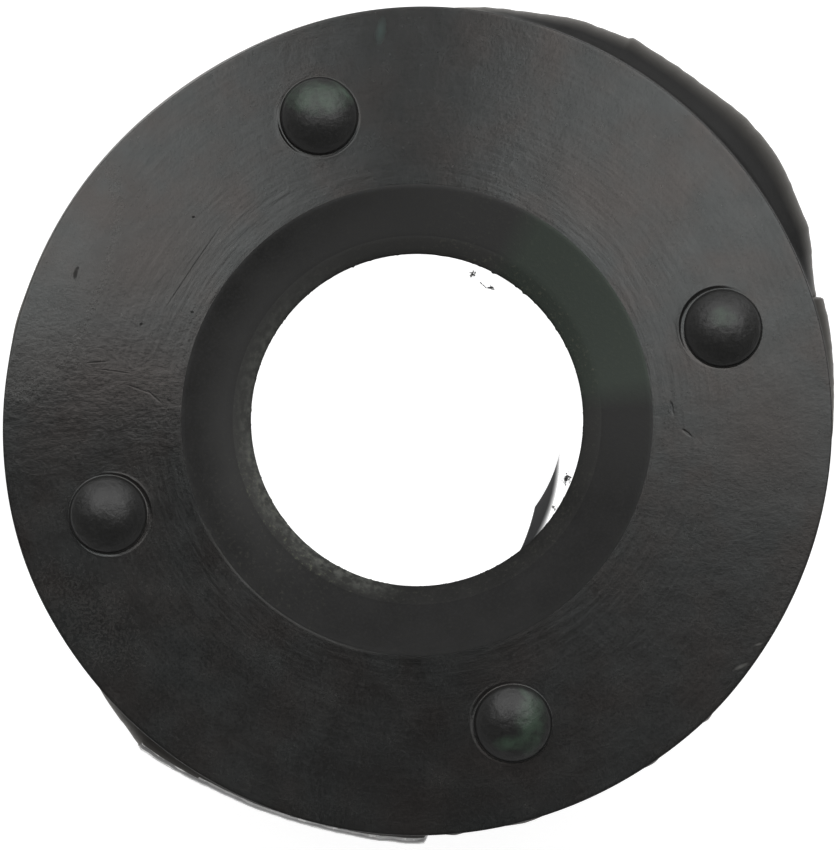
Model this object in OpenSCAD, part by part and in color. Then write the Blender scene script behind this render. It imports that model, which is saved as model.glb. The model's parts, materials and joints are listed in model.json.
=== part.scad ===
// Flanged rubber bushing for a leaf spring shackle, moulded in one piece.
// The bore stands along Z, the seat under the flange lies at Z = 0, the face looks up
// and the barrel hangs below.

/* [Bore] */
// Diameter of the bore that takes the shackle pin
bore_d = 18; // [14:0.5:20]
// Diameter of the conical lead-in where it meets the face
lead_in_d = 25.1; // [23.6:0.1:26.4]
// Depth of the conical lead-in
lead_in_depth = 1.5; // [0.8:0.1:2.2]
// Width of the broken edge between the lead-in and the bore
mouth_break = 0.9; // [0.4:0.1:1.2]
// Width of the chamfer round the bore at the barrel's nose
nose_break = 0.8; // [0.3:0.1:1.2]

/* [Barrel] */
// Diameter of the barrel that fills the spring's eye
barrel_d = 28; // [27:0.5:31]
// Length of the barrel from the flange's seat to its nose
barrel_len = 32; // [20:1:40]
// Length of the tapered nose
nose_len = 4; // [2:0.5:6]
// How much smaller the nose's radius is at its end
nose_drop = 1.2; // [0.5:0.1:1.6]
// Radius of the fillet between the barrel and the seat
root_r = 0.8; // [0.3:0.1:1.5]

/* [Flange] */
// Diameter of the flange at the edge of its face
face_d = 44.4; // [43:0.2:48]
// Thickness of the flange from its seat to the inner edge of its face
flange_t = 6; // [5.5:0.5:9]
// Slope of the face in degrees, falling from the lead-in to the rim
face_slope = 3; // [1:0.5:5]
// Radius of the edge between the face and the rim
edge_r = 0.35; // [0.2:0.05:0.6]
// How far the rim flares out on its way down to the parting line
rim_flare = 0.5; // [0.2:0.1:1]
// Height of the parting line above the seat
parting_h = 1.5; // [1.4:0.1:2]
// Radius of the edge between the rim and the seat
back_r = 0.9; // [0.4:0.1:1.1]

/* [Nubs on the face] */
// Number of nubs, evenly spaced
nub_count = 4; // [3:1:8]
// Diameter of the circle that the nubs stand on
nub_pcd = 34.3; // [33.6:0.1:36]
// Turn of the first nub from the X axis, in degrees
nub_turn = 17.3; // [0:0.1:90]
// Diameter of a nub
nub_d = 4.1; // [3.4:0.1:4.6]
// Height of a nub above the face, at the top of its dome
nub_h = 1.1; // [0.9:0.1:1.6]
// Height of a nub's straight side under its dome
nub_side_h = 0.35; // [0.1:0.05:0.5]
// Width of the witness groove that the mould pin leaves round a nub
witness_w = 0.25; // [0.15:0.05:0.4]
// Depth of the witness groove
witness_depth = 0.15; // [0.1:0.05:0.3]

/* [Moulding lip] */
// Reach of the untrimmed lip past the parting line, at its widest
lip_reach = 1.7; // [0.8:0.1:2.4]
// Height of the lip's rounded back above the parting line
lip_rise = 1.6; // [0.8:0.1:2]
// Depth of the lip's underside below the parting line
lip_drop = 1.1; // [0.6:0.1:1.3]
// Reach of the thin flash strips past the parting line, at their widest
strip_reach = 0.8; // [0.4:0.05:1.4]
// Height of the flash strips above the parting line
strip_rise = 1.2; // [0.4:0.1:1.8]
// Depth of the flash strips below the parting line
strip_drop = 0.5; // [0.3:0.1:1]

/* [Hidden] */
$fn = 144;
// Overlap that joins one solid to the next
sink = 0.6;
// Flats in a rounded edge of the profile
arc_steps = 6;
// Points between two stations of a lip's outline
blend_steps = 4;
// Flats in a lip's rounded section
section_steps = 8;

bore_r = bore_d / 2;
mouth_r = bore_r + mouth_break;
lead_in_r = lead_in_d / 2;
barrel_r = barrel_d / 2;
face_r = face_d / 2;
parting_r = face_r + rim_flare;
nub_r = nub_d / 2;
nub_ring_r = nub_pcd / 2;

// Stations along the lip and the flash strips: [angle in degrees, share of the reach].
// The lip swells to a corner at 40 degrees, keeps a nick near 61 and runs out at 17.
LIP = [
    [16.8, 0.02], [17.4, 0.12], [19, 0.18], [22.2, 0.38], [26.2, 0.66], [29.5, 0.74],
    [35.6, 0.97], [39.4, 1], [44.6, 0.92], [50.4, 0.79], [57.4, 0.73], [60.5, 0.77],
    [61, 0.68], [65, 0.56], [67.7, 0.52], [71.6, 0.36], [76, 0.22], [80, 0.13], [89, -0.1]
];
LOW_STRIP = [
    [222, -0.2], [226, 0.42], [229, 0.75], [230, 1], [235, 0.72], [242, 0.38],
    [250, 0.28], [258, 0.28], [265, 0.42], [271, 0.55], [271.8, -0.2]
];
SIDE_STRIP = [
    [-6, -0.2], [-2, 0.06], [2, 0.14], [6, 0.28], [10, 0.42], [13.5, 0.56], [16.4, 0.6],
    [16.9, 0.5], [17.3, -0.2]
];

// Height of the sloped face at a radius
function face_z(r) = flange_t - (r - lead_in_r) * tan(face_slope);

// Points of an arc in the profile, from angle a0 to a1
function arc(centre, r, a0, a1) = [
    for (i = [0:arc_steps])
        let (a = a0 + (a1 - a0) * i / arc_steps) centre + r * [cos(a), sin(a)]
];

// A smooth curve through four stations, at t from 0 to 1 between the middle two
function blend(a, b, c, d, t) =
    0.5 * (2 * b + (c - a) * t + (2 * a - 5 * b + 4 * c - d) * t * t
        + (3 * b - a - 3 * c + d) * t * t * t);

// The half section, walked from the bore's mouth over the face, rim and barrel
function section() =
    let (
        rim_z = face_z(face_r),
        nose_z = -barrel_len
    )
    concat(
        [
            [bore_r, flange_t - lead_in_depth - mouth_break],
            [mouth_r, flange_t - lead_in_depth],
            [lead_in_r, flange_t]
        ],
        arc([face_r - edge_r, rim_z - edge_r], edge_r, 90 - face_slope, 0),
        [[parting_r, parting_h]],
        arc([parting_r - back_r, back_r], back_r, 0, -90),
        arc([barrel_r + root_r, -root_r], root_r, 90, 180),
        [
            [barrel_r, nose_z + nose_len],
            [barrel_r - nose_drop, nose_z],
            [bore_r + nose_break, nose_z],
            [bore_r, nose_z + nose_break]
        ]
    );

// A smooth run through the stations, as angle and share of the reach
function run(stations) =
    let (n = len(stations))
    [
        for (i = [0:n - 2], k = [0:blend_steps - 1])
            blend(
                stations[max(i - 1, 0)], stations[i], stations[i + 1],
                stations[min(i + 2, n - 1)], k / blend_steps
            )
    ];

// Section of a lip that reaches this far out: a half oval, with its flat inside the rim
function lip_section(out, rise, drop) = [
    for (i = [0:section_steps])
        let (a = -90 + 180 * i / section_steps)
        [
            parting_r - sink + (sink + out) * cos(a),
            parting_h + (a < 0 ? drop : rise) * sin(a)
        ]
];

// Rubber squeezed out at the parting line: a section that is carried round the rim,
// growing and shrinking through the stations
module squeezed_lip(stations, reach, rise, drop) {
    stops = run(stations);
    sides = section_steps + 1;
    last = len(stops) - 1;
    polyhedron(
        points = [
            for (stop = stops, point = lip_section(reach * stop[1], rise, drop))
                [point[0] * cos(stop[0]), point[0] * sin(stop[0]), point[1]]
        ],
        faces = concat(
            [[for (j = [sides - 1:-1:0]) j]],
            [
                for (i = [0:last - 1], j = [0:sides - 1])
                    let (here = i * sides, next = here + sides, k = (j + 1) % sides)
                    [here + j, here + k, next + k, next + j]
            ],
            [[for (j = [0:sides - 1]) last * sides + j]]
        )
    );
}

// A nub with a shallow dome on a short straight side, its base flush with the sloped face
module nub_dome() {
    rise = nub_h - nub_side_h;
    dome_r = (nub_r * nub_r + rise * rise) / (2 * rise);
    intersection() {
        translate([0, 0, nub_h - dome_r]) sphere(dome_r);
        translate([0, 0, -sink]) cylinder(h = nub_h + 2 * sink, r = nub_r);
    }
}

// The ring that is taken out round a nub
module witness_groove() {
    translate([0, 0, -witness_depth])
        difference() {
            cylinder(h = sink, r = nub_r + witness_w);
            translate([0, 0, -sink]) cylinder(h = 3 * sink, r = nub_r);
        }
}

// Children stand on the face where each nub is
module at_nubs() {
    for (i = [0:nub_count - 1])
        rotate(nub_turn + i * 360 / nub_count)
            translate([nub_ring_r, 0, face_z(nub_ring_r)])
                rotate([0, face_slope, 0]) children();
}

module bushing() {
    color([0.16, 0.16, 0.155])
        union() {
            difference() {
                rotate_extrude() polygon(section());
                at_nubs() witness_groove();
            }
            at_nubs() nub_dome();
            squeezed_lip(LIP, lip_reach, lip_rise, lip_drop);
            squeezed_lip(LOW_STRIP, strip_reach, strip_rise, strip_drop);
            squeezed_lip(SIDE_STRIP, strip_reach, strip_rise, strip_drop);
        }
}

bushing();
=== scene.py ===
# A flanged rubber bushing for a leaf spring shackle, standing on its barrel's nose with the
# flange face up. It is one moulding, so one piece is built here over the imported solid, in
# metres and in the solid's frame: the bore runs along Z and the flange's seat is at Z = 0.
import json
import math

import bpy
import numpy as np
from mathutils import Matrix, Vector, noise


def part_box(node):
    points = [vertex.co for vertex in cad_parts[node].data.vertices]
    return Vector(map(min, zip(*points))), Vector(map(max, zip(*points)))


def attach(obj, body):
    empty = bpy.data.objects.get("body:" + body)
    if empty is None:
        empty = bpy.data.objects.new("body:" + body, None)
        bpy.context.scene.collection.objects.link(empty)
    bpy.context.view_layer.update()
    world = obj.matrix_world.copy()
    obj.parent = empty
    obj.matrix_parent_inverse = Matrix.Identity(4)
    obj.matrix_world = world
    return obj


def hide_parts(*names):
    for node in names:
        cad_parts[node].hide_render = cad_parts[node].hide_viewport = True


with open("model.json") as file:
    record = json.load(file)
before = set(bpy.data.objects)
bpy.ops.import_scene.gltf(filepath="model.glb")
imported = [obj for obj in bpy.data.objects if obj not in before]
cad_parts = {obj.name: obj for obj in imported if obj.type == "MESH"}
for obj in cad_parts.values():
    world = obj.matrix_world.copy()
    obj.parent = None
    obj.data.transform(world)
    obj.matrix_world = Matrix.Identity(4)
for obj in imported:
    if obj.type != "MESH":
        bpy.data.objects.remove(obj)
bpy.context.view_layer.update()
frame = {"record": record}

# The bushing's lines round the axis. Rubber is pressed into a two-part mould, and its skin
# follows the mould round and round, so the piece is a grid of rings and turns. The turns are
# set closer at the four nubs and wherever the lip of squeezed-out rubber starts or ends.
MM = 0.001
mounts = {mount["name"]: mount for mount in frame["record"]["mounts"]}
nub_count = 4
nub_ring_r = 17.15 * MM
first_nub = math.radians(17.3)
nub_r = 2.05 * MM
groove_r = 2.24 * MM
patch_r = 3.2 * MM
patch_rings = MM * np.array([
    0.3, 0.6, 0.9, 1.15, 1.4, 1.6, 1.75, 1.88, 1.98, 2.02, 2.05, 2.07, 2.11, 2.17, 2.24, 2.29,
    2.34, 2.39, 2.45, 2.65, 2.9, 3.2,
])
patch_lines = np.concatenate([-patch_rings[::-1], [0], patch_rings])
nub_turns = first_nub + np.arange(nub_count) * math.tau / nub_count
wide_step = math.radians(0.85)
crisp_turns = np.radians([16.4, 17.2, 60.8, 226, 229.8, 271.5, 275, 285, 304.5, 314.3, 355])
crisp_offsets = np.radians([-0.6, -0.25, 0, 0.25, 0.6])

turns = []
for nub_turn in nub_turns:
    turns.extend(nub_turn + patch_lines / nub_ring_r)
    gap_from = nub_turn + patch_r / nub_ring_r
    gap_to = nub_turn + math.tau / nub_count - patch_r / nub_ring_r
    turns.extend(np.arange(gap_from, gap_to, wide_step)[1:])
turns.extend(np.add.outer(crisp_turns, crisp_offsets).ravel())
# Turns that agree to this many digits are taken as one.
shared_digits = 5
turns = np.unique(np.round(np.mod(turns, math.tau), shared_digits))
turn_degrees = np.degrees(turns)


def bumps(spots):
    """Sum of rounded bumps round the axis, each given as (degrees, half width, height)."""
    total = np.zeros(len(turns))
    for degrees, half_width, height in spots:
        away = (turn_degrees - degrees + 180) % 360 - 180
        total += height * np.exp(-((away / half_width) ** 2))
    return total


def ragged(rate, seed):
    """Smooth chance values from about -0.5 to 0.5, with that many swings a turn over tau."""
    return np.array([
        noise.noise(Vector((math.cos(a) * rate, math.sin(a) * rate, seed))) for a in turns
    ])


# The lip and the flash. Where the two halves of the mould met, rubber squeezed out past the
# rim and was never trimmed: a thick lip at the upper right with a nick in it, thin strips at
# the lower left and right, and small bits between. Reach is counted from the parting line.
lip_reach = 1.76 * MM
lip_rise = 1.6 * MM
lip_drop = 1.1 * MM
strip_reach = 0.83 * MM
strip_rise = 1.2 * MM
strip_drop = 0.5 * MM
ridge_reach = 0.04 * MM
ridge_half = 0.08 * MM
lip_stations = [
    (16.8, 0.02), (17.4, 0.12), (19, 0.18), (22.2, 0.38), (26.2, 0.66), (29.5, 0.74),
    (35.6, 0.97), (39.4, 1), (44.6, 0.92), (50.4, 0.79), (57.4, 0.73), (60.5, 0.77),
    (61, 0.68), (65, 0.56), (67.7, 0.52), (71.6, 0.36), (76, 0.22), (80, 0.13), (89, -0.1),
]
low_strip_stations = [
    (218, -0.1), (222, 0.2), (226, 0.48), (229, 0.78), (230, 1), (235, 0.74), (242, 0.48),
    (250, 0.38), (258, 0.38), (265, 0.5), (271, 0.56), (271.8, -0.2),
]
side_strip_stations = [
    (-6, -0.2), (-2, 0.06), (2, 0.14), (6, 0.28), (10, 0.42), (13.5, 0.56), (16.4, 0.6),
    (16.9, 0.5), (17.3, -0.2),
]
flash_bits = [
    (275.2, 1.2, 0.10 * MM), (285, 2.6, 0.12 * MM), (304.4, 1.4, 0.12 * MM),
    (314.3, 1.3, 0.16 * MM), (200, 10, 0.06 * MM), (166, 3, 0.05 * MM),
]
stations_blend = 8
full_section_at = 0.35 * MM
full_ripple_at = 0.3 * MM
least_lip = 0.01 * MM


def eased(share):
    """0 to 1 with a soft start and a soft end."""
    share = np.clip(share, 0, 1)
    return share * share * (3 - 2 * share)


def reach_through(stations, reach):
    """The lip's reach at each turn, on a smooth curve through its stations."""
    degrees, shares = np.array(stations).T
    last = len(stations) - 1
    along, out = [], []
    for i in range(last):
        a, b, c, d = shares[max(i - 1, 0)], shares[i], shares[i + 1], shares[min(i + 2, last)]
        t = np.arange(stations_blend) / stations_blend
        curve = 2 * b + (c - a) * t + (2 * a - 5 * b + 4 * c - d) * t**2
        out.extend(0.5 * (curve + (3 * b - a - 3 * c + d) * t**3))
        along.extend(degrees[i] + (degrees[i + 1] - degrees[i]) * t)
    along.append(degrees[-1])
    out.append(shares[-1])
    wrapped = np.where(turn_degrees > along[-1] + 180, turn_degrees - 360, turn_degrees)
    return reach * np.clip(np.interp(wrapped, along, out, left=0, right=0), 0, None)


thick_lip = reach_through(lip_stations, lip_reach)
thin_lip = (
    reach_through(low_strip_stations, strip_reach)
    + reach_through(side_strip_stations, strip_reach)
    + bumps(flash_bits)
)
ripple = 0.05 * MM * ragged(9, 3.1) + 0.04 * MM * ragged(60, 7.7)
lip_out = ridge_reach + np.maximum(thick_lip, thin_lip)
ripple_share = np.clip(lip_out / full_ripple_at - 0.1, 0.05, 1)
lip_out = np.maximum(lip_out + ripple * ripple_share, least_lip)
is_thick = thick_lip > thin_lip
grown = eased(lip_out / full_section_at)
rise = ridge_half + (np.where(is_thick, lip_rise, strip_rise) - ridge_half) * grown
drop = ridge_half + (np.where(is_thick, lip_drop, strip_drop) - ridge_half) * grown

# The half section, walked ring by ring from the bore's mouth over the lead-in, the coned
# face, the drafted rim, the lip, the seat and the barrel, and back up the bore. The face and
# the rim are a little out of true, as soft rubber is when it leaves the mould.
bore_r = mounts["bore"]["dims"]["r_mm"] * MM
barrel_r = mounts["barrel"]["dims"]["r_mm"] * MM
nose_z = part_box("bushing")[0].z
flange_t = 6 * MM
lead_in_r = 12.55 * MM
lead_in_depth = 1.5 * MM
mouth_break = 0.9 * MM
face_slope = math.radians(3)
face_r = 22.34 * MM
edge_r = 0.08 * MM
rim_flare = 0.28 * MM
parting_h = 1.5 * MM
back_r = 0.9 * MM
lip_root = 0.6 * MM
root_r = 0.8 * MM
nose_len = 4 * MM
nose_drop = 1.2 * MM
nose_break = 0.8 * MM
nub_h = 1.08 * MM
nub_side_h = 0.35 * MM
groove_depth = 0.08 * MM

FACE, LEAD_IN, MOUTH, RIM, LIP, BRIGHT_LIP, BODY, BORE, NUB = range(9)
out_of_true = bumps([
    (125, 26, -0.54 * MM), (160, 20, -0.2 * MM), (200, 12, 0.08 * MM), (315, 8, 0.05 * MM),
    (45, 30, -0.2 * MM),
])
rim_out_of_true = bumps([(125, 26, -0.40 * MM), (160, 20, -0.14 * MM)])
rings_r, rings_z, ring_zone = [], [], []


def ring(r, z, zone):
    """Adds a ring of the grid. zone is the finish from this ring on to the next."""
    rings_r.append(np.zeros(len(turns)) + r)
    rings_z.append(np.zeros(len(turns)) + z)
    ring_zone.append(zone)


def stretch(r0, z0, r1, z1, shares, zone):
    """Adds rings on a straight stretch of the section, at these shares of its length."""
    for share in shares:
        ring(r0 + (r1 - r0) * share, z0 + (z1 - z0) * share, zone)


def rounded(r, z, radius, from_degrees, to_degrees, count, zone):
    """Adds rings on an arc of the section about r, z, both ends included."""
    for angle in np.radians(np.linspace(from_degrees, to_degrees, count)):
        ring(r + radius * math.cos(angle), z + radius * math.sin(angle), zone)


def face_height(r):
    """Height of the coned face at a radius."""
    return flange_t - (r - lead_in_r) * math.tan(face_slope)


mouth_r = bore_r + mouth_break
mouth_low = flange_t - lead_in_depth - mouth_break
mouth_high = flange_t - lead_in_depth
# The mouth's edge is torn, with a few hairs of rubber standing into the bore.
torn = 0.04 * MM * ragged(30, 1.3) + 0.05 * MM * ragged(110, 5.9)
hairs = bumps([
    (50, 0.8, 0.06 * MM), (63, 0.7, 0.05 * MM), (33, 0.8, 0.04 * MM), (-50, 1, 0.07 * MM),
])
bore_top_z = mouth_low - 0.35 * MM
ring(bore_r, bore_top_z, MOUTH)
ring(bore_r - hairs - np.clip(torn, -0.02 * MM, 1), mouth_low - 0.08 * MM, MOUTH)
ring(bore_r + 0.08 * MM - hairs - 0.6 * torn, mouth_low + 0.06 * MM, MOUTH)
stretch(bore_r, mouth_low, mouth_r, mouth_high, [0.25, 0.45, 0.65, 0.85], MOUTH)
stretch(mouth_r, mouth_high, lead_in_r, flange_t, [0.02, 0.1, 0.3, 0.55, 0.8, 0.93, 0.98], LEAD_IN)
ring(lead_in_r - 0.02 * MM, flange_t - 0.02 * MM, LEAD_IN)
ring(lead_in_r + 0.03 * MM, flange_t - 0.006 * MM, LEAD_IN)
true_face_r = face_r + out_of_true
for r in [lead_in_r + 0.1 * MM, lead_in_r + 0.35 * MM, 13.25 * MM, 13.6 * MM]:
    ring(r, face_height(r), FACE)
patch_row = len(rings_r)
for r in nub_ring_r + patch_lines:
    ring(r, face_height(r), FACE)
patch_end = nub_ring_r + patch_r
face_end = true_face_r - edge_r
for share in [0.3, 0.6, 0.82, 0.94]:
    r = patch_end + (face_end - patch_end) * share
    ring(r, face_height(r), FACE)
face_end_z = face_height(face_end)
rounded(face_end, face_end_z - edge_r, edge_r, 90 - math.degrees(face_slope), 64, 2, FACE)
rounded(face_end, face_end_z - edge_r, edge_r, 48, 4, 3, RIM)
true_parting_r = face_r + rim_flare + rim_out_of_true
rim_top_z = face_end_z - edge_r


def rim_radius(z):
    """Radius of the drafted rim, and of its rounded edge below, at a height."""
    down = (rim_top_z - z) / (rim_top_z - parting_h)
    drafted = true_face_r + (true_parting_r - true_face_r) * np.clip(down, 0, 1)
    below = np.clip(back_r - z, 0, back_r)
    return drafted - back_r + np.sqrt(back_r**2 - below**2)


rim_low_z = parting_h + rise
for share in [0.04, 0.2, 0.45, 0.7, 0.88, 0.97]:
    z = rim_top_z + (rim_low_z - rim_top_z) * share
    ring(rim_radius(z), z, RIM)
lip_root_r = true_parting_r - lip_root
lip_angles = [82, 74, 66, 58, 50, 42, 34, 26, 18, 10, 3, -4, -12, -24, -38, -54, -70, -82]
for angle in np.radians(lip_angles):
    z = parting_h + (rise if angle > 0 else drop) * math.sin(angle)
    r = lip_root_r + (lip_root + lip_out) * math.cos(angle)
    ring(np.maximum(r, rim_radius(z)), z, LIP if angle > 0 else BODY)
lowest = parting_h - drop
for share in [0.12, 0.4, 0.65, 0.82, 0.94, 1]:
    z = lowest * (1 - share)
    ring(rim_radius(z), z, BODY)
stretch(true_parting_r - back_r, 0, barrel_r + root_r, 0, [0.06, 0.35, 0.7, 0.94], BODY)
rounded(barrel_r + root_r, -root_r, root_r, 90, 180, 5, BODY)
stretch(barrel_r, -root_r, barrel_r, nose_z + nose_len, [0.02, 0.15, 0.35, 0.6, 0.85, 0.98], BODY)
stretch(barrel_r, nose_z + nose_len, barrel_r - nose_drop, nose_z, [0.03, 0.5, 0.93], BODY)
stretch(barrel_r - nose_drop, nose_z, bore_r + nose_break, nose_z, [0.06, 0.94], BODY)
stretch(bore_r + nose_break, nose_z, bore_r, nose_z + nose_break, [0.05, 0.5, 0.95], BORE)
stretch(bore_r, nose_z + nose_break, bore_r, bore_top_z,
        [0.02, 0.1, 0.3, 0.5, 0.7, 0.85, 0.95], BORE)

rings_r, rings_z = np.array(rings_r), np.array(rings_z)
points = np.stack([rings_r * np.cos(turns), rings_r * np.sin(turns), rings_z], axis=-1)

# The nubs. Four shallow domes stand on the face, each on a short straight side, with part of
# its mould pin's witness groove beside it, a little off the nub's middle. The grid is drawn
# into circles round each nub, so that its rings lie along the nub's edges.
dome_rise = nub_h - nub_side_h
dome_r = (nub_r**2 + dome_rise**2) / (2 * dome_rise)
side_w = 0.03 * MM
groove_half = 0.16 * MM
bead_rise = 0.02 * MM
bead_half = 0.06 * MM
room_fade = 0.3 * MM
fade_from = 2.5 * MM
groove_shift = MM * np.array([(-0.14, 0.04), (-0.06, -0.05), (0.12, -0.02), (-0.08, 0.02)])
nub_shift = MM * np.array([(0.04, -0.18), (-0.14, -0.06), (-0.20, 0.02), (0.06, 0.08)])
lean = MM * np.array([(0.30, 0.05), (0.05, 0.20), (-0.25, 0.10), (0.10, 0.15)])
groove_arcs = [[(150, 60)], [(215, 40), (320, 60)], [(50, 45), (240, 30)], [(140, 35)]]
least_groove = 0.12


def nub_height(d, d_dome, d_groove, shown):
    """Height over the face, by the distances from the nub's, dome's and groove's middles.

    shown is the groove's share of its full depth there.
    """
    dome = nub_h - dome_r + np.sqrt(np.maximum(dome_r**2 - d_dome**2, 0))
    side = np.interp(d, [0.98 * nub_r, nub_r, nub_r + side_w], [1, 0.75, 0])
    out = np.clip((d_groove - groove_r + groove_half) / groove_half, 0, 1)
    room = np.clip((groove_r - nub_r + d - d_groove) / room_fade, 0, 1)
    bead = bead_rise * np.exp(-(((d_groove - groove_r) / bead_half) ** 2))
    floor_z = (bead - groove_depth * (1 - out**2)) * room * shown
    return dome * side + floor_z * (1 - side)


rows = slice(patch_row, patch_row + len(patch_lines))
nub_middles = nub_ring_r * np.stack([np.cos(nub_turns), np.sin(nub_turns)], axis=-1) + nub_shift
for nub_turn, centre, shift, leaning, arcs in zip(
        nub_turns, nub_middles, groove_shift, lean, groove_arcs):
    away = (turns - nub_turn + math.pi) % math.tau - math.pi
    columns = np.flatnonzero(np.abs(away) <= patch_r / nub_ring_r + 1e-4)
    u, v = np.meshgrid(away[columns] * nub_ring_r, patch_lines)
    square = np.maximum(np.abs(u), np.abs(v))
    scale = square / np.maximum(np.hypot(u, v), 1e-9)
    fade = eased((square - fade_from) / (patch_r - fade_from))
    out_way = np.array([math.cos(nub_turn), math.sin(nub_turn)])
    side_way = np.array([-math.sin(nub_turn), math.cos(nub_turn)])
    circle = centre + (u * scale)[..., None] * side_way + (v * scale)[..., None] * out_way
    patch = points[rows][:, columns]
    xy = circle * (1 - fade)[..., None] + patch[..., :2] * fade[..., None]
    d = np.hypot(*(xy - centre).transpose(2, 0, 1))
    d_dome = np.hypot(*(xy - centre - leaning).transpose(2, 0, 1))
    d_groove = np.hypot(*(xy - centre - shift).transpose(2, 0, 1))
    bearing = np.degrees(np.arctan2(xy[..., 1] - centre[1], xy[..., 0] - centre[0]))
    shown = np.full(d.shape, least_groove)
    for middle, half_width in arcs:
        from_middle = (bearing - middle + 180) % 360 - 180
        shown = np.maximum(shown, np.exp(-((from_middle / half_width) ** 2)))
    standing = nub_height(d, d_dome, d_groove, shown) * (d < patch_r)
    z = face_height(np.hypot(xy[..., 0], xy[..., 1])) + standing
    points[rows, columns] = np.dstack([xy, z])

# The mesh. The rings are joined into one closed skin, and each quad takes its ring's finish.
# The domes take the nubs' finish, and the thin strip's outer edge at the lower left takes a pale
# finish, a painted reflection.
bright_w = 0.42 * MM
ring_count, turn_count = points.shape[:2]
index = np.arange(ring_count * turn_count).reshape(ring_count, turn_count)
ahead = np.roll(index, -1, axis=1)
after = np.roll(index, -1, axis=0)
after_ahead = np.roll(ahead, -1, axis=0)
quads = np.stack([index, after, after_ahead, ahead], axis=-1).reshape(-1, 4)
mesh = bpy.data.meshes.new("bushing_moulding")
mesh.from_pydata(points.reshape(-1, 3).tolist(), [], quads.tolist())
zones = np.repeat(ring_zone, turn_count).reshape(ring_count, turn_count)
middles = (points + np.roll(points, -1, axis=1))[..., :2] / 2
for centre in nub_middles:
    near = np.hypot(*(middles - centre).transpose(2, 0, 1)) < nub_r + side_w
    zones[near & (zones == FACE)] = NUB
bright_turns = (turn_degrees > 229.3) & (turn_degrees < 271.6)
from_edge = true_parting_r + lip_out - rings_r
zones[(zones == LIP) & bright_turns & (from_edge < bright_w)] = BRIGHT_LIP
mesh.polygons.foreach_set("material_index", zones.ravel().astype(np.int32))
mesh.polygons.foreach_set("use_smooth", np.ones(len(mesh.polygons), bool))
mesh.update()
bushing = bpy.data.objects.new("bushing_moulding", mesh)
bpy.context.scene.collection.objects.link(bushing)

# The rubber's finishes. It is one black compound all over. The mould for the face was turned
# on a lathe, and its marks print through; the lead-in is smooth, the torn edge of the mouth
# is matt, the bore is polished by its core pin and the rest has the mould's fine grain.


def node_maker(tree):
    """A function that adds a node with its settings, and links or sets its inputs."""
    def add(kind, inputs=(), **settings):
        node = tree.nodes.new(kind)
        for key, value in settings.items():
            setattr(node, key, value)
        for key, value in dict(inputs).items():
            if isinstance(value, bpy.types.NodeSocket):
                tree.links.new(value, node.inputs[key])
            else:
                node.inputs[key].default_value = value
        return node

    return add


def start(name):
    """A material with its shader, its maker of nodes, and a call that feeds the shader."""
    material = bpy.data.materials.new(name)
    material.use_nodes = True
    tree = material.node_tree
    shader = tree.nodes["Principled BSDF"]

    def feed(socket, source):
        tree.links.new(source, shader.inputs[socket])

    return material, shader, node_maker(tree), feed


def maths(add, operation, *values):
    """The result of one sum on these values or sockets."""
    return add("ShaderNodeMath", dict(enumerate(values)), operation=operation).outputs[0]


def joined(add, values, operation="MAXIMUM"):
    """All the values taken together by the same sum, one after another."""
    total = values[0]
    for value in values[1:]:
        total = maths(add, operation, total, value)
    return total


def polar(add):
    """Place on the part in millimetres, distance from the axis, and turn round it."""
    place = add("ShaderNodeTexCoord").outputs["Object"]
    scaled = add("ShaderNodeVectorMath", {0: place, 1: (1000, 1000, 1000)}, operation="MULTIPLY")
    parts = add("ShaderNodeSeparateXYZ", {0: scaled.outputs[0]})
    flat = add("ShaderNodeCombineXYZ", {0: parts.outputs[0], 1: parts.outputs[1]})
    length = add("ShaderNodeVectorMath", {0: flat.outputs[0]}, operation="LENGTH").outputs["Value"]
    turn = maths(add, "ARCTAN2", parts.outputs[1], parts.outputs[0])
    return scaled.outputs[0], length, turn


def cloudy(add, place, scale, detail=3.0, rough=0.55):
    """Soft chance values about 0.5, at that many swings a millimetre."""
    return add("ShaderNodeTexNoise", {"Vector": place, "Scale": scale, "Detail": detail,
                                      "Roughness": rough}).outputs["Fac"]


def spread(add, value, low, high, to_low, to_high):
    """The value's range from low to high, stretched over to_low to to_high and held there."""
    return add("ShaderNodeMapRange", {0: value, 1: low, 2: high, 3: to_low, 4: to_high}).outputs[0]


def shade(colour, share=1.0):
    """A colour made darker or lighter by a share, as a shader takes it."""
    return (*[share * part for part in colour], 1)


def mixed(add, factor, a, b):
    """Colour a where the factor is 0, and colour b where it is 1."""
    node = add("ShaderNodeMix", data_type="RGBA")
    tree = node.id_data
    for key, value in (("Factor", factor), ("A", a), ("B", b)):
        socket = next(s for s in node.inputs if s.name == key and s.enabled)
        if isinstance(value, bpy.types.NodeSocket):
            tree.links.new(value, socket)
        else:
            socket.default_value = value
    return next(s for s in node.outputs if s.enabled)


def mark(add, place, x, y, half_long, half_wide, degrees, soft=0.35):
    """1 inside a long oval at x, y, fading to 0 past its edge. All in millimetres."""
    moved = add("ShaderNodeVectorMath", {0: place, 1: (x, y, 0)}, operation="SUBTRACT")
    turned = add("ShaderNodeVectorRotate", {"Vector": moved.outputs[0],
                                            "Angle": math.radians(-degrees)}, rotation_type="Z_AXIS")
    flat = add("ShaderNodeVectorMath", {0: turned.outputs[0],
                                        1: (1 / half_long, 1 / half_wide, 0)}, operation="MULTIPLY")
    far = add("ShaderNodeVectorMath", {0: flat.outputs[0]}, operation="LENGTH").outputs["Value"]
    return spread(add, far, 1 - soft, 1 + soft, 1, 0)


def marks(add, place, ovals):
    """Several marks at once, each given as in mark."""
    return joined(add, [mark(add, place, *oval) for oval in ovals])


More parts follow.
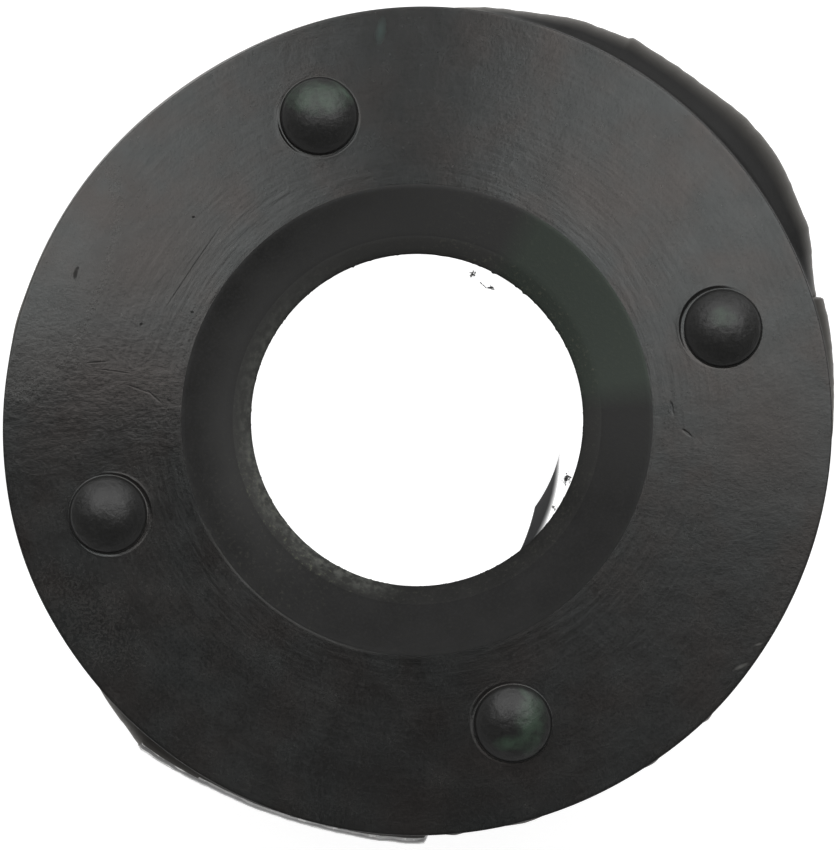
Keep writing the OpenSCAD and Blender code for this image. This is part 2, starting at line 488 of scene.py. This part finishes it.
def near_turn(add, turn, middle, half, fade, most=1):
    """most within half degrees of a turn round the axis, then falling to 0 over fade degrees."""
    away = maths(add, "ABSOLUTE", maths(add, "SUBTRACT", turn, math.radians(middle)))
    return spread(add, away, math.radians(half), math.radians(half + fade), most, 0)


def face_rubber():
    """The turned face: satin, with lathe marks, a leathery patch, pits with painted shade, scratches
    and dust.
    """
    material, shader, add, feed = start("rubber_face")
    place, radius, turn = polar(add)
    patchy = cloudy(add, place, 0.5, 2)
    speckle = cloudy(add, place, 7.0, 4, 0.7)

    # Black, a little warmer here and cooler there, with a grain of paler bloom.
    warm_black, cool_black = (0.0094, 0.0087, 0.0084, 1), (0.0084, 0.0088, 0.0087, 1)
    skin = mixed(add, spread(add, cloudy(add, place, 0.25, 2), 0.42, 0.6, 0, 1), warm_black, cool_black)
    skin = mixed(add, spread(add, patchy, 0.45, 0.75, 0, 0.25), skin, (0.016, 0.0155, 0.015, 1))
    skin = mixed(add, spread(add, speckle, 0.42, 0.72, 0, 0.35), skin, (0.019, 0.0185, 0.0175, 1))

    # The lathe's cuts are dark lines round the lead-in, and a thin painted highlight lies along its
    # edge low down at the left.
    around = maths(add, "MULTIPLY", turn, 1.6)
    track = add("ShaderNodeCombineXYZ", {0: radius, 1: around}).outputs[0]
    cuts = spread(add, cloudy(add, track, 6.5, 1, 0.4), 0.5, 0.62, 0, 1)
    cuts = maths(add, "MULTIPLY", cuts, spread(add, radius, 13.5, 17.5, 0.4, 0.08))
    skin = mixed(add, cuts, skin, (0.004, 0.004, 0.004, 1))
    off_ring = maths(add, "ABSOLUTE", maths(add, "SUBTRACT", radius, 12.68))
    lead_in_edge_highlight = maths(add, "MULTIPLY", spread(add, off_ring, 0.02, 0.12, 1, 0),
                      near_turn(add, turn, -128, 17.2, 14.3, 0.7))
    skin = mixed(add, lead_in_edge_highlight, skin, (0.055, 0.055, 0.053, 1))

    # Small pits, their shade painted as near-black spots, then dust on the upper half and two scuffs at
    # the lower right.
    pits_and_shade = marks(add, place, [
        (-18.34, 7.85, 0.25, 0.10, 78, 0.5), (-18.24, 8.15, 0.1, 0.07, 20, 0.5),
        (-12.0, 10.9, 0.08, 0.06, 0, 0.6), (-14.8, 5.15, 0.09, 0.06, 30, 0.6),
        (-12.06, 5.8, 0.08, 0.06, 0, 0.6),
    ])
    skin = mixed(add, pits_and_shade, skin, (0.002, 0.002, 0.002, 1))
    high_up = add("ShaderNodeSeparateXYZ", {0: place}).outputs[1]
    dust = maths(add, "MULTIPLY", spread(add, cloudy(add, place, 4.5, 2, 0.4), 0.73, 0.78, 0, 0.35),
                 spread(add, high_up, -9, 3, 0, 1))
    pale_marks = marks(add, place, [
        (17.4, -13.25, 0.30, 0.07, 24, 0.7), (18.35, -12.05, 0.17, 0.05, 15, 0.6),
    ])
    skin = mixed(add, joined(add, [dust, pale_marks]), skin, (0.075, 0.073, 0.068, 1))

    # Paler along the left edge, a brushed patch at the lower left, a green smudge at the top.
    paler_left_edge = maths(add, "MULTIPLY", mark(add, place, -19.4, 7.6, 4.2, 1.5, 69, 0.9),
                       spread(add, speckle, 0.3, 0.7, 0.4, 1))
    skin = mixed(add, paler_left_edge, skin, (0.042, 0.041, 0.039, 1))
    brushed = maths(add, "MULTIPLY", mark(add, place, -17.6, -10.6, 2.8, 1.5, -50, 0.7),
                    spread(add, speckle, 0.45, 0.6, 0, 0.6))
    skin = mixed(add, brushed, skin, (0.028, 0.027, 0.025, 1))
    smudge = mark(add, place, -1.95, 20.9, 0.5, 0.18, 80, 0.8)
    feed("Base Color", mixed(add, smudge, skin, (0.022, 0.038, 0.033, 1)))

    # The gloss is satin and drawn out round the axis, and brownish in a few places.
    satin = maths(add, "ADD", spread(add, speckle, 0.3, 0.7, 0.18, 0.26),
                  spread(add, patchy, 0.3, 0.7, -0.02, 0.03))
    feed("Roughness", maths(add, "MAXIMUM", satin, pits_and_shade))
    brownish = marks(add, place, [
        (-14.5, 8.5, 3.5, 2.2, 40, 0.7), (-16.0, 2.0, 5.0, 2.6, 0, 0.7),
        (18.5, -0.5, 3.5, 2.5, 90, 0.7), (9.5, 12.0, 3.0, 1.6, -40, 0.7),
    ])
    brownish = joined(add, [spread(add, cloudy(add, place, 0.3, 3), 0.42, 0.66, 0, 1), brownish])
    feed("Specular Tint", mixed(add, brownish, (0.93, 0.97, 0.96, 1), (1.0, 0.94, 0.90, 1)))
    shader.inputs["Anisotropic"].default_value = 0.9
    shader.inputs["Anisotropic Rotation"].default_value = 0.25
    feed("Tangent", add("ShaderNodeTangent", direction_type="RADIAL", axis="Z").outputs[0])

    # Fine relief: cut marks, grain, a leathery patch at the left, slow waves and scratches.
    cut_depth = spread(add, radius, 12.6, 17.5, 2.6, 1.0)
    leathery = spread(add, mark(add, place, -16.8, 2.0, 6.5, 4.0, 0, 0.6), 0, 1, 0.5, 1.3)
    scratches = marks(add, place, [
        (13.67, 0.64, 0.32, 0.08, 100), (14.48, -0.70, 0.26, 0.08, -40),
        (-14.9, 1.65, 0.55, 0.045, -20), (-14.1, 1.25, 0.45, 0.045, -42),
        (-12.0, 8.2, 2.1, 0.05, 56), (-17.1, 3.1, 0.5, 0.045, 5), (-16.2, 2.6, 0.7, 0.045, -8),
    ])
    height = joined(add, [
        maths(add, "MULTIPLY", cloudy(add, track, 3.4, 2, 0.5), cut_depth),
        cloudy(add, place, 5.5, 5, 0.7),
        maths(add, "MULTIPLY", cloudy(add, place, 2.7, 3, 0.6), leathery),
        spread(add, cloudy(add, place, 0.4, 2), 0, 1, 0, 3),
    ], "ADD")
    height = maths(add, "SUBTRACT", height, maths(add, "MULTIPLY", scratches, 2.0))
    bump = add("ShaderNodeBump", {"Height": height, "Strength": 0.32, "Distance": 0.02 * MM})
    feed("Normal", bump.outputs[0])
    return material


fine_grain = 0.03 * MM


def plain_rubber(name, colour, rough, grain_scale, grain_depth, shine=0.5):
    """Plain black rubber, with its maker and its colour left open for more."""
    material, shader, add, feed = start(name)
    place, radius, turn = polar(add)
    patchy = cloudy(add, place, 0.5, 4)
    fine = cloudy(add, place, 6.0, 4, 0.7)
    black = mixed(add, spread(add, patchy, 0.35, 0.7, 0, 1), shade(colour, 0.85), shade(colour, 1.2))
    black = mixed(add, spread(add, fine, 0.45, 0.75, 0, 0.5), black, shade(colour, 1.9))
    feed("Base Color", black)
    feed("Roughness", spread(add, fine, 0.3, 0.7, *rough))
    shader.inputs["Specular IOR Level"].default_value = shine
    grain = cloudy(add, place, grain_scale, 4, 0.6)
    bump = add("ShaderNodeBump", {"Height": grain, "Strength": 0.5, "Distance": grain_depth})
    feed("Normal", bump.outputs[0])
    return material, add, feed, place, turn, black


def lead_in_rubber_with_painted_light(name, colour, rough, flecks, halo):
    """The lead-in's rubber, with painted light and shade, a greenish bloom under a painted sheen at its
    upper right, and light flecks.
    """
    material, add, feed, place, turn, black = plain_rubber(name, colour, rough, 5, fine_grain, 0.12)
    right, up, _ = add("ShaderNodeSeparateXYZ", {0: place}).outputs
    flat = add("ShaderNodeVectorMath", {0: place, 1: (1, 1, 0)}, operation="MULTIPLY")
    radius = add("ShaderNodeVectorMath", {0: flat.outputs[0]}, operation="LENGTH").outputs["Value"]

    # Painted shade low down, painted light near the mouth at the upper left, and a painted sheen over
    # the upper right, greenish there with bloom.
    skin = mixed(add, spread(add, up, -11, 9, 0.38, 0), black, shade(colour, 0.2))
    by_mouth = spread(add, radius, 10.4, 12.0, 1, 0)
    upper_left = spread(add, maths(add, "SUBTRACT", up, right), -4, 6, 0, 0.5)
    skin = mixed(add, maths(add, "MULTIPLY", by_mouth, upper_left), skin, shade(colour, 2.5))
    skin = mixed(add, near_turn(add, turn, 38, 38, 26), skin, shade(colour, 1.5))
    skin = mixed(add, near_turn(add, turn, 70, 8, 55), skin, shade(colour, 2.0))
    skin = mixed(add, near_turn(add, turn, 34, 23, 8), skin, (0.052, 0.062, 0.053, 1))

    # A mottled pale patch on the mouth's left side, painted as the glare of its rounded edge, and
    # flecks of dried bloom.
    mottled = spread(add, cloudy(add, place, 2.5, 3), 0.4, 0.65, 0.2, 1)
    mouth_glare = joined(add, [near_turn(add, turn, -140, 28, 18), spread(add, right, -3, -8, 0, 0.7)])
    mouth_glare = joined(add, [mouth_glare, mottled, spread(add, radius, 9.95, 9.0, 0, halo)], "MULTIPLY")
    skin = mixed(add, mouth_glare, skin, (0.16, 0.165, 0.15, 1))
    worn = joined(add, [near_turn(add, turn, -142, 18, 20), near_turn(add, turn, 48, 30, 15), 0.25])
    specks = spread(add, cloudy(add, place, 5.0, 3, 0.6), 0.56, 0.74, 0, flecks)
    share = maths(add, "MULTIPLY", worn, specks)
    feed("Base Color", mixed(add, share, skin, (0.13, 0.135, 0.10, 1)))
    return material


def bore_rubber():
    """Polished by the core pin, but for a matt patch low on the right and a few crumbs."""
    material, add, feed, place, turn, black = plain_rubber(
        "rubber_bore", (0.022, 0.022, 0.022), (0.04, 0.08), 0.6, 0.004 * MM)
    degrees = maths(add, "MULTIPLY", turn, 180 / math.pi)
    z = add("ShaderNodeSeparateXYZ", {0: place}).outputs[2]

    # The matt patch lies between two slanting lines on the wall, one soft and one crisp.
    above = maths(add, "SUBTRACT", maths(add, "MULTIPLY_ADD", degrees, -1.25, -49.0), z)
    below = maths(add, "ADD", maths(add, "MULTIPLY_ADD", degrees, 2.23, 112.0), z)
    patch = joined(add, [spread(add, above, -4, 5, 0, 1), spread(add, below, 0, 1.5, 0, 1)], "MINIMUM")

    # The crumbs are placed on the wall rolled out flat, in millimetres, with ragged edges.
    wall_a_degree = 0.157
    arc = maths(add, "MULTIPLY", degrees, wall_a_degree)
    wall = add("ShaderNodeCombineXYZ", {0: arc, 1: z}).outputs[0]
    crumbs = marks(add, wall, [
        (10.86, -11.9, 0.18, 4.5, 0, 0.7), (10.08, -21.3, 2.8, 0.1, 84),
        (9.63, -20.5, 3.6, 0.1, 93), (9.5, -17.5, 0.16, 3.0, 0, 0.7),
        (-3.4, -4.5, 0.32, 6.5, 0, 0.8), (-5.1, -2.0, 0.14, 4.0, 0, 0.7),
    ])
    drawn_out = add("ShaderNodeVectorMath", {0: wall, 1: (7.0, 0.22, 1)}, operation="MULTIPLY")
    torn_edge = spread(add, cloudy(add, drawn_out.outputs[0], 1.0, 3, 0.7), 0.35, 0.65, -0.5, 0.5)
    crumbs = spread(add, maths(add, "ADD", crumbs, torn_edge), 0.55, 0.85, 0, 1)
    matt = joined(add, [patch, crumbs])
    feed("Base Color", mixed(add, matt, black, (0.020, 0.021, 0.023, 1)))
    feed("Roughness", spread(add, matt, 0, 1, 0.05, 0.75))
    feed("Specular IOR Level", spread(add, matt, 0, 1, 0.6, 0.03))
    return material


def rim_rubber():
    """The drafted rim, with a painted reflection making it paler at the upper left and the left, fading
    out.
    """
    material, add, feed, place, turn, black = plain_rubber(
        "rubber_rim", (0.016, 0.016, 0.0156), (0.5, 0.6), 4, fine_grain, 0.25)
    # The pale sectors are a painted reflection of the bright room on the rim's side.
    pale_marks = joined(add, [near_turn(add, turn, 127, 1, 18), near_turn(add, turn, 157, 0, 10)])
    patchy = spread(add, cloudy(add, place, 1.6, 4, 0.7), 0.38, 0.62, 0.25, 1)
    share = maths(add, "MULTIPLY", pale_marks, patchy)
    feed("Base Color", mixed(add, share, black, (0.10, 0.098, 0.094, 1)))
    return material


def lip_rubber(name, rough, shine, pale_from, pale_to, pale):
    """The squeezed-out rubber's skin, turning pale between two heights on the way down: painted shade
    high up under the rim, painted light lower down toward its edge.
    """
    material, add, feed, place, turn, black = plain_rubber(
        name, (0.012, 0.012, 0.0118), rough, 4, fine_grain, shine)
    z = add("ShaderNodeSeparateXYZ", {0: place}).outputs[2]
    skin = mixed(add, spread(add, z, pale_from, pale_to, 0, 1), black, shade(pale))
    feed("Base Color", skin)
    return material, add, feed, turn, z, skin


def bright_lip_rubber():
    """The thin strip at the lower left: glossy, its grey a painted reflection, with a dark line and
    painted glints along it.
    """
    material, add, feed, turn, z, skin = lip_rubber(
        "rubber_bright_lip", (0.25, 0.4), 0.6, 2.75, 2.6, (0.55, 0.55, 0.54))
    # Painted reflection lines: a dark line wandering along the strip, and white painted glints beside
    # it.
    along = maths(add, "MULTIPLY", turn, 14)
    wander = maths(add, "MULTIPLY_ADD", cloudy(add, along, 0.5, 2), 0.5, z)
    off_dark_line = maths(add, "ABSOLUTE", maths(add, "SUBTRACT", wander, 2.40))
    dark_line = spread(add, off_dark_line, 0.10, 0.18, 1, 0)
    skin = mixed(add, dark_line, skin, (0.05, 0.049, 0.047, 1))
    track = add("ShaderNodeCombineXYZ", {0: along, 1: z}).outputs[0]
    glints = spread(add, cloudy(add, track, 1.6, 4, 0.7), 0.53, 0.56, 0, 1)
    glints = add("ShaderNodeMath", {0: glints, 1: dark_line}, operation="SUBTRACT", use_clamp=True)
    feed("Base Color", mixed(add, glints.outputs[0], skin, (0.95, 0.95, 0.93, 1)))
    return material


def nub_rubber():
    """The nubs are glossy, and the upper and the lower one have a greenish bloom, painted lighter as a
    sheen mostly on their lit upper and right sides.
    """
    material, add, feed, place, turn, black = plain_rubber(
        "rubber_nub", (0.013, 0.013, 0.0126), (0.34, 0.46), 1.5, 0.12 * MM, 0.4)
    right, upper, _, lower = nub_middles / MM
    # Greenish patches lighter than the rubber: bloom, with a painted sheen on the nubs' lit sides.
    bloom_and_sheen = marks(add, place, [
        (upper[0], upper[1] + 0.9, 1.7, 0.9, 0, 0.4),
        (upper[0] + 1.3, upper[1] + 1.3, 0.8, 0.16, -45, 0.5),
        (lower[0] + 0.9, lower[1] + 0.1, 0.8, 1.6, 0, 0.5),
        (lower[0] - 0.1, lower[1] - 1.0, 0.9, 0.45, 0, 0.5),
        (lower[0] + 1.0, lower[1] + 1.3, 0.9, 0.25, -40, 0.5),
        (right[0], right[1] + 0.6, 0.7, 0.5, 0, 0.7),
    ])
    uneven_bloom_and_sheen = maths(add, "MULTIPLY", bloom_and_sheen, cloudy(add, place, 2.0))
    share = spread(add, uneven_bloom_and_sheen, 0.15, 0.6, 0, 0.9)
    feed("Base Color", mixed(add, share, black, (0.038, 0.060, 0.042, 1)))
    return material


finishes = {
    FACE: face_rubber(),
    LEAD_IN: lead_in_rubber_with_painted_light("rubber_lead_in", (0.023, 0.023, 0.0226), (0.55, 0.65), 0.15, 0),
    MOUTH: lead_in_rubber_with_painted_light("rubber_mouth", (0.030, 0.030, 0.029), (0.6, 0.7), 0.7, 0.8),
    RIM: rim_rubber(),
    LIP: lip_rubber("rubber_lip", (0.45, 0.6), 0.2, 2.85, 1.7, (0.12, 0.112, 0.10))[0],
    BRIGHT_LIP: bright_lip_rubber(),
    BODY: plain_rubber("rubber_body", (0.017, 0.017, 0.0165), (0.42, 0.52), 3, fine_grain)[0],
    BORE: bore_rubber(),
    NUB: nub_rubber(),
}
for zone in sorted(finishes):
    mesh.materials.append(finishes[zone])
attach(bushing, "root")
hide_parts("bushing")

# The floor is a lit white table. It is white to the eye and in the rubber's gloss, and it
# still takes the part's soft shadow. Under the bore it shines at full white.
floor_half = 3.0
floor_gap = 0.02 * MM
floor_mesh = bpy.data.meshes.new("floor")
floor_mesh.from_pydata(
    [(x * floor_half, y * floor_half, nose_z - floor_gap)
     for x, y in ((-1, -1), (1, -1), (1, 1), (-1, 1))],
    [], [(0, 1, 2, 3)],
)
floor = bpy.data.objects.new("floor", floor_mesh)
bpy.context.scene.collection.objects.link(floor)

floor_material = bpy.data.materials.new("floor")
floor_material.use_nodes = True
floor_material.node_tree.nodes.clear()
add = node_maker(floor_material.node_tree)
ray = add("ShaderNodeLightPath").outputs
looked_at = joined(add, [ray["Is Camera Ray"], ray["Is Glossy Ray"], ray["Is Transmission Ray"]])
spot = add("ShaderNodeTexCoord").outputs["Object"]
far = add("ShaderNodeVectorMath", {0: spot, 1: (0, 0, nose_z)}, operation="DISTANCE").outputs["Value"]
shine = spread(add, far, 0.5 * (bore_r + barrel_r), barrel_r, 1.0, 0.82)
in_gloss = spread(add, ray["Is Glossy Ray"], 0, 1, 1.0, 1.4)
glow = add("ShaderNodeEmission", {"Strength": maths(add, "MULTIPLY", shine, in_gloss)})
shadow_catcher = add("ShaderNodeBsdfDiffuse", {"Color": (0.5, 0.5, 0.5, 1)})
lit_table = add("ShaderNodeAddShader", {0: glow.outputs[0], 1: shadow_catcher.outputs[0]})
bounce = add("ShaderNodeBsdfDiffuse", {"Color": (0.8, 0.8, 0.8, 1)})
chosen = add("ShaderNodeMixShader", {0: looked_at, 1: bounce.outputs[0], 2: lit_table.outputs[0]})
add("ShaderNodeOutputMaterial", {"Surface": chosen.outputs[0]})
floor_mesh.materials.append(floor_material)

# The room: white to the eye, white low down where gloss looks across the table, and dark
# overhead, as in a studio whose ceiling isn't lit.
world = bpy.data.worlds.new("room")
bpy.context.scene.world = world
world.use_nodes = True
world.node_tree.nodes.clear()
add = node_maker(world.node_tree)
way = add("ShaderNodeTexCoord").outputs["Generated"]
upward = add("ShaderNodeSeparateXYZ", {0: way}).outputs["Z"]
fall = add("ShaderNodeMapRange", {0: upward, 1: 0.0, 2: 0.5, 3: 0.95, 4: 0.08},
           interpolation_type="SMOOTHSTEP")
seen = add("ShaderNodeLightPath").outputs["Is Camera Ray"]
strength = add("ShaderNodeMix", {"Factor": seen, "A": fall.outputs[0], "B": 1.0})
backing = add("ShaderNodeBackground", {"Strength": strength.outputs["Result"]})
add("ShaderNodeOutputWorld", {"Surface": backing.outputs[0]})

# Four soft boxes hang overhead: one at the left, two at the right across a gap above the part,
# and one further back. Their edges give the face its light sectors. Each is given as its left,
# right, front and back sides, and its radiance.
box_height = 0.6
soft_boxes = {
    "left_box": (-0.40, -0.052, 0.028, 0.36, 3.5),
    "right_box": (0.038, 0.40, 0.02, 0.36, 3.5),
    "right_low_box": (0.038, 0.40, -0.055, 0.02, 1.8),
    "back_box": (-0.7, 0.7, 0.36, 1.0, 2.2),
}
for name, (x0, x1, y0, y1, radiance) in soft_boxes.items():
    lamp = bpy.data.lights.new(name, "AREA")
    lamp.shape = "RECTANGLE"
    lamp.size, lamp.size_y = x1 - x0, y1 - y0
    lamp.energy = radiance * math.pi * lamp.size * lamp.size_y
    hung = bpy.data.objects.new(name, lamp)
    hung.location = ((x0 + x1) / 2, (y0 + y1) / 2, box_height)
    bpy.context.scene.collection.objects.link(hung)

# The camera looks straight down on the face, a few pixels off the part's axis. Its lens is
# worked out from the photo's scale at the flange.
camera_distance = 0.240
pixels_per_metre = 18650
long_side = 850
sensor_width = 36
off_axis_pixels = (3, -5)
off_axis = [pixels / pixels_per_metre for pixels in off_axis_pixels]
lens_data = bpy.data.cameras.new("camera")
lens_data.sensor_width = sensor_width
lens_data.lens = sensor_width * camera_distance * pixels_per_metre / long_side
lens_data.clip_start, lens_data.clip_end = 0.01, 20
camera = bpy.data.objects.new("camera", lens_data)
camera.location = (*off_axis, flange_t + camera_distance)
bpy.context.scene.collection.objects.link(camera)
bpy.context.scene.camera = camera
bpy.context.scene.view_settings.view_transform = "Standard"
